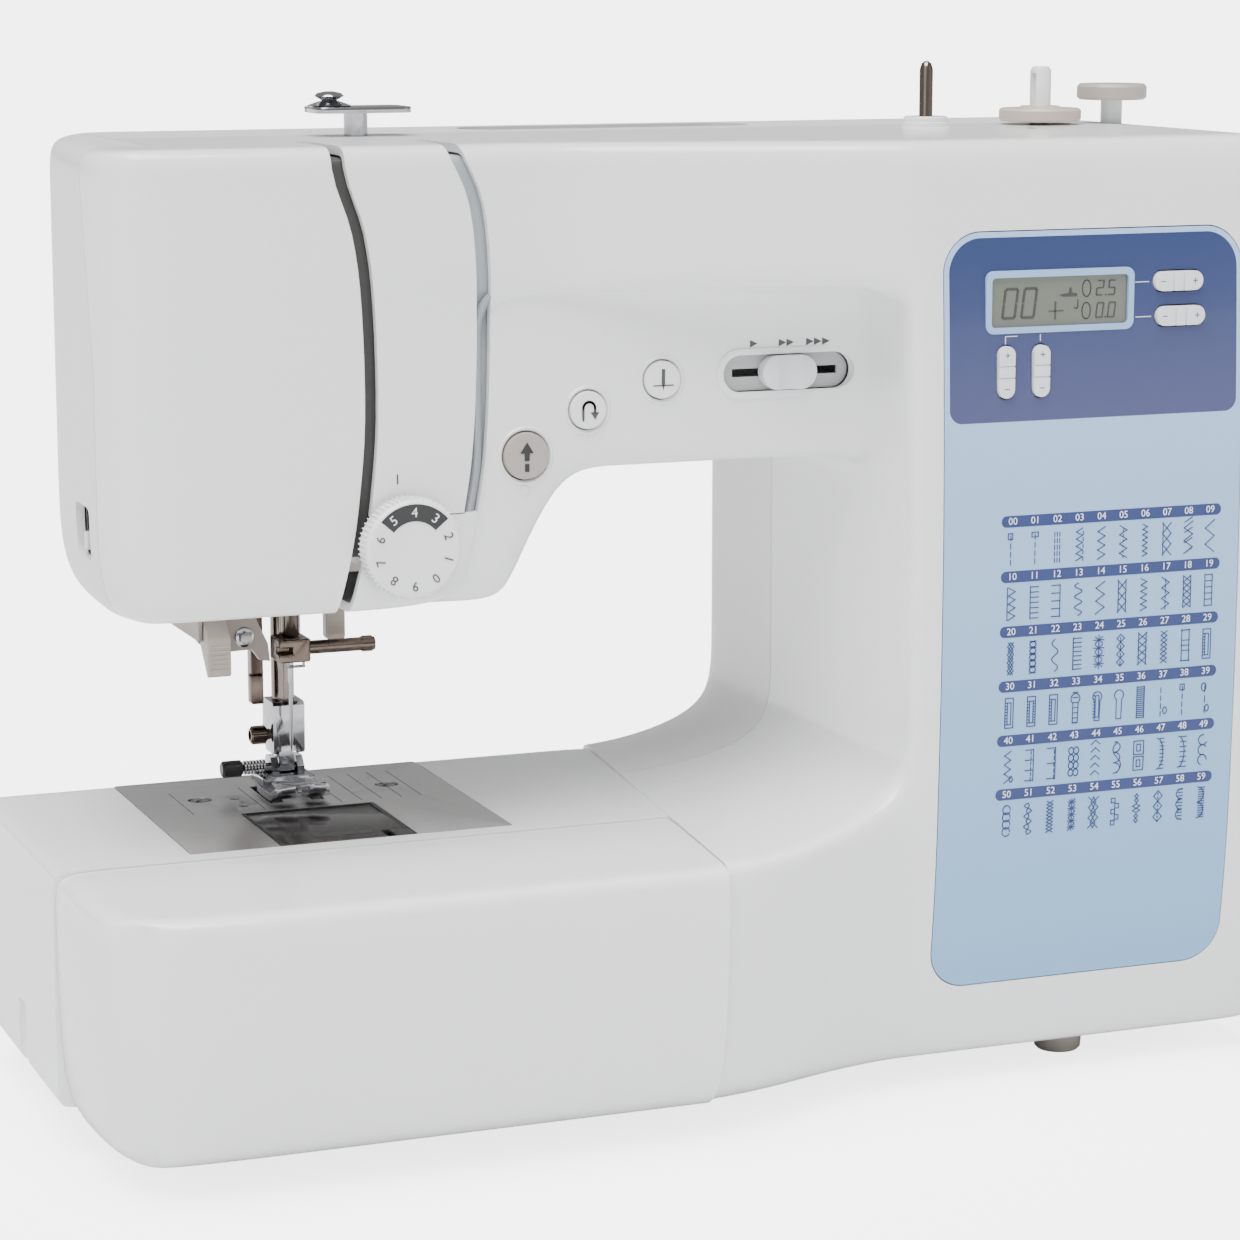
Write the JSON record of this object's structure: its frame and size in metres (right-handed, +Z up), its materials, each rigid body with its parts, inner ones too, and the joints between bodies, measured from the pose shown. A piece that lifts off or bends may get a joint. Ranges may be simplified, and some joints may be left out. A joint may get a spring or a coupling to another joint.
{
  "type": "sewing machine",
  "caption": "Free-arm electronic domestic sewing machine with horizontal hook, panel keys, flat bed attachment and working needle, presser, hook and handwheel joints.",
  "frame": {"origin": "on the table, under the middle of the machine's overall box", "axes": "+Z up, +X to the operator's right along the arm, -Y towards the operator"},
  "size_m": [0.405, 0.182, 0.305],
  "materials": {
    "white_shell": "satin white moulded plastic",
    "warm_shell": "slightly warmer white moulded plastic",
    "grey_plastic": "grey moulded plastic",
    "taupe_plastic": "taupe-grey moulded plastic",
    "beige_plastic": "beige moulded plastic",
    "black_plastic": "black moulded plastic",
    "panel_film": "printed blue panel",
    "smoked_clear": "smoked clear plastic",
    "lcd": "liquid crystal display behind a clear lens",
    "board": "printed circuit board",
    "bronze": "dark bronze-plated steel",
    "chrome": "polished chrome plate",
    "steel": "brushed steel",
    "cast_frame": "die-cast aluminium",
    "rubber": "rubber",
    "clear": "clear plastic"
  },
  "bodies": {
    "root": {"front_cover": "white_shell", "rear_cover": "warm_shell", "end_cover": "warm_shell", "channel_cover": "white_shell", "control_panel": "panel_film", "base_plate": "grey_plastic", "front_foot": "rubber", "free_arm_cover": "white_shell", "main_frame": "cast_frame", "needle_plate": "steel", "plate_screw_left": "steel", "plate_screw_right": "steel", "bobbin_case": "black_plastic", "motor": "black_plastic", "circuit_board": "board", "lcd_module": "lcd", "thread_guide": "chrome", "threader_bracket": "bronze", "power_inlet": "black_plastic", "timing_belt": "rubber", "motor_belt": "rubber", "presser_spring": "steel", "bobbin_stopper": "taupe_plastic"},
    "main_shaft": {"upper_shaft": "steel", "upper_pulley": "grey_plastic", "handwheel": "grey_plastic"},
    "lower_shaft": {"lower_shaft": "steel"},
    "rotary_hook": {"rotary_hook": "steel"},
    "motor_pulley": {"motor_pulley": "steel"},
    "bobbin": {"bobbin": "clear"},
    "needle_bar": {"needle_bar": "bronze", "needle_clamp": "bronze", "needle": "steel"},
    "clamp_screw": {"clamp_screw": "bronze"},
    "take_up_lever": {"take_up_lever": "steel"},
    "presser_bar": {"presser_bar": "bronze", "foot_holder": "chrome"},
    "foot_screw": {"foot_screw": "bronze"},
    "presser_foot": {"presser_foot": "chrome"},
    "presser_lever": {"presser_lever": "warm_shell"},
    "tension_dial": {"tension_dial": "white_shell"},
    "speed_slider": {"speed_slider": "grey_plastic"},
    "start_stop_button": {"start_stop_button": "taupe_plastic"},
    "reverse_button": {"reverse_button": "white_shell"},
    "needle_position_button": {"needle_position_button": "white_shell"},
    "stitch_tens_key": {"stitch_tens_key": "white_shell"},
    "stitch_units_key": {"stitch_units_key": "white_shell"},
    "stitch_length_key": {"stitch_length_key": "white_shell"},
    "stitch_width_key": {"stitch_width_key": "white_shell"},
    "power_switch": {"power_switch": "black_plastic"},
    "winder_carrier": {"winder_carrier": "grey_plastic"},
    "bobbin_winder": {"bobbin_winder": "taupe_plastic"},
    "flat_bed_attachment": {"flat_bed_attachment": "white_shell"},
    "bobbin_cover": {"bobbin_cover": "smoked_clear"},
    "cover_latch": {"cover_latch": "black_plastic"},
    "feed_dog": {"feed_dog": "steel"},
    "feed_switch": {"feed_switch": "grey_plastic"},
    "threader_lever": {"threader_lever": "beige_plastic"},
    "buttonhole_lever": {"buttonhole_lever": "beige_plastic"},
    "spool_pin": {"spool_pin": "steel"}
  },
  "joints": [
    {"name": "handwheel_turn", "type": "hinge", "parent": "root", "child": "main_shaft", "pos_m": [0.174, 0.042, 0.238], "axis": [1, 0, 0], "continuous": true},
    {"name": "lower_shaft_turn", "type": "hinge", "parent": "root", "child": "lower_shaft", "pos_m": [-0.113, 0.048, 0.038], "axis": [1, 0, 0], "continuous": true},
    {"name": "hook_turn", "type": "hinge", "parent": "root", "child": "rotary_hook", "pos_m": [-0.113, 0.019, 0.06], "axis": [0, 0, 1], "continuous": true},
    {"name": "motor_turn", "type": "hinge", "parent": "root", "child": "motor_pulley", "pos_m": [0.14, -0.008, 0.12], "axis": [1, 0, 0], "continuous": true},
    {"name": "bobbin_turn", "type": "hinge", "parent": "root", "child": "bobbin", "pos_m": [-0.113, 0.019, 0.07], "axis": [0, 0, 1], "continuous": true},
    {"name": "needle_stroke", "type": "slide", "parent": "root", "child": "needle_bar", "axis": [0, 0, 1], "range_m": [-0.03, 0.001]},
    {"name": "take_up_swing", "type": "hinge", "parent": "root", "child": "take_up_lever", "pos_m": [-0.1182, 0.02, 0.225], "axis": [1, 0, 0], "range_deg": [-2, 52]},
    {"name": "clamp_screw_turn", "type": "hinge", "parent": "needle_bar", "child": "clamp_screw", "pos_m": [-0.092, 0.04, 0.1305], "axis": [1, 0, 0], "range_deg": [-180, 180]},
    {"name": "presser_lever_lift", "type": "hinge", "parent": "root", "child": "presser_lever", "pos_m": [-0.096, 0.0881, 0.17], "axis": [0, -1, 0], "range_deg": [0, 80]},
    {"name": "presser_bar_lift", "type": "slide", "parent": "root", "child": "presser_bar", "axis": [0, 0, 1], "range_m": [0, 0.0065], "deforming": ["presser_spring"]},
    {"name": "foot_screw_turn", "type": "hinge", "parent": "presser_bar", "child": "foot_screw", "pos_m": [-0.1165, 0.055, 0.1013], "axis": [1, 0, 0], "range_deg": [-180, 180]},
    {"name": "foot_tilt", "type": "hinge", "parent": "presser_bar", "child": "presser_foot", "pos_m": [-0.113, 0.0525, 0.0914], "axis": [-1, 0, 0], "range_deg": [0, 6]},
    {"name": "tension_turn", "type": "hinge", "parent": "root", "child": "tension_dial", "pos_m": [-0.1015, -0.037, 0.173], "axis": [0, -1, 0], "range_deg": [-144, 180]},
    {"name": "speed_shift", "type": "slide", "parent": "root", "child": "speed_slider", "axis": [1, 0, 0], "range_m": [-0.01, 0.01]},
    {"name": "start_stop_press", "type": "slide", "parent": "root", "child": "start_stop_button", "axis": [0, 1, 0], "range_m": [0, 0.0015], "stiffness_N_per_m": 300, "springref_m": -0.001},
    {"name": "reverse_press", "type": "slide", "parent": "root", "child": "reverse_button", "axis": [0, 1, 0], "range_m": [0, 0.0015], "stiffness_N_per_m": 300, "springref_m": -0.001},
    {"name": "needle_position_press", "type": "slide", "parent": "root", "child": "needle_position_button", "axis": [0, 1, 0], "range_m": [0, 0.0015], "stiffness_N_per_m": 300, "springref_m": -0.001},
    {"name": "stitch_tens_rock", "type": "hinge", "parent": "root", "child": "stitch_tens_key", "pos_m": [0.0722, -0.062, 0.218], "axis": [1, 0, 0], "range_deg": [-2, 2], "stiffness_Nm_per_rad": 0.08},
    {"name": "stitch_units_rock", "type": "hinge", "parent": "root", "child": "stitch_units_key", "pos_m": [0.0836, -0.062, 0.218], "axis": [1, 0, 0], "range_deg": [-2, 2], "stiffness_Nm_per_rad": 0.08},
    {"name": "stitch_length_rock", "type": "hinge", "parent": "root", "child": "stitch_length_key", "pos_m": [0.1292, -0.0607, 0.2427], "axis": [0, 0, 1], "range_deg": [-2, 2], "stiffness_Nm_per_rad": 0.08},
    {"name": "stitch_width_rock", "type": "hinge", "parent": "root", "child": "stitch_width_key", "pos_m": [0.1298, -0.0613, 0.2325], "axis": [0, 0, 1], "range_deg": [-2, 2], "stiffness_Nm_per_rad": 0.08},
    {"name": "power_rock", "type": "hinge", "parent": "root", "child": "power_switch", "pos_m": [0.173, 0, 0.063], "axis": [0, 1, 0], "range_deg": [-5, 5]},
    {"name": "winder_shift", "type": "slide", "parent": "root", "child": "winder_carrier", "axis": [1, 0, 0], "range_m": [0, 0.006]},
    {"name": "winder_turn", "type": "hinge", "parent": "winder_carrier", "child": "bobbin_winder", "pos_m": [0.129, 0.022, 0.285], "axis": [0, 0, 1], "continuous": true},
    {"name": "attachment_slide", "type": "slide", "parent": "root", "child": "flat_bed_attachment", "axis": [-1, 0, 0], "range_m": [0, 0.19]},
    {"name": "bobbin_cover_lift", "type": "slide", "parent": "root", "child": "bobbin_cover", "axis": [0, 0, 1], "range_m": [0, 0.05]},
    {"name": "latch_shift", "type": "slide", "parent": "root", "child": "cover_latch", "axis": [-1, 0, 0], "range_m": [0, 0.0022], "stiffness_N_per_m": 200, "springref_m": -0.0005},
    {"name": "feed_stroke", "type": "slide", "parent": "root", "child": "feed_dog", "axis": [0, 1, 0], "range_m": [-0.0018, 0.0018]},
    {"name": "feed_switch_shift", "type": "slide", "parent": "root", "child": "feed_switch", "axis": [1, 0, 0], "range_m": [0, 0.008]},
    {"name": "threader_pull", "type": "slide", "parent": "root", "child": "threader_lever", "axis": [0, 0, -1], "range_m": [0, 0.025], "stiffness_N_per_m": 20, "springref_m": -0.01},
    {"name": "buttonhole_pull", "type": "slide", "parent": "root", "child": "buttonhole_lever", "axis": [0, 0, -1], "range_m": [0, 0.035]},
    {"name": "spool_pin_slide", "type": "slide", "parent": "root", "child": "spool_pin", "axis": [0, 0, 1], "range_m": [-0.016, 0]}
  ],
  "couplings": [
    {"joint": "lower_shaft_turn", "follows": "handwheel_turn", "ratio": 1},
    {"joint": "hook_turn", "follows": "handwheel_turn", "ratio": 2},
    {"joint": "motor_turn", "follows": "handwheel_turn", "ratio": 3.6667},
    {"joint": "take_up_swing", "follows": "needle_stroke", "rad_per_m": -29},
    {"joint": "presser_bar_lift", "follows": "presser_lever_lift", "m_per_rad": 0.0043}
  ]
}
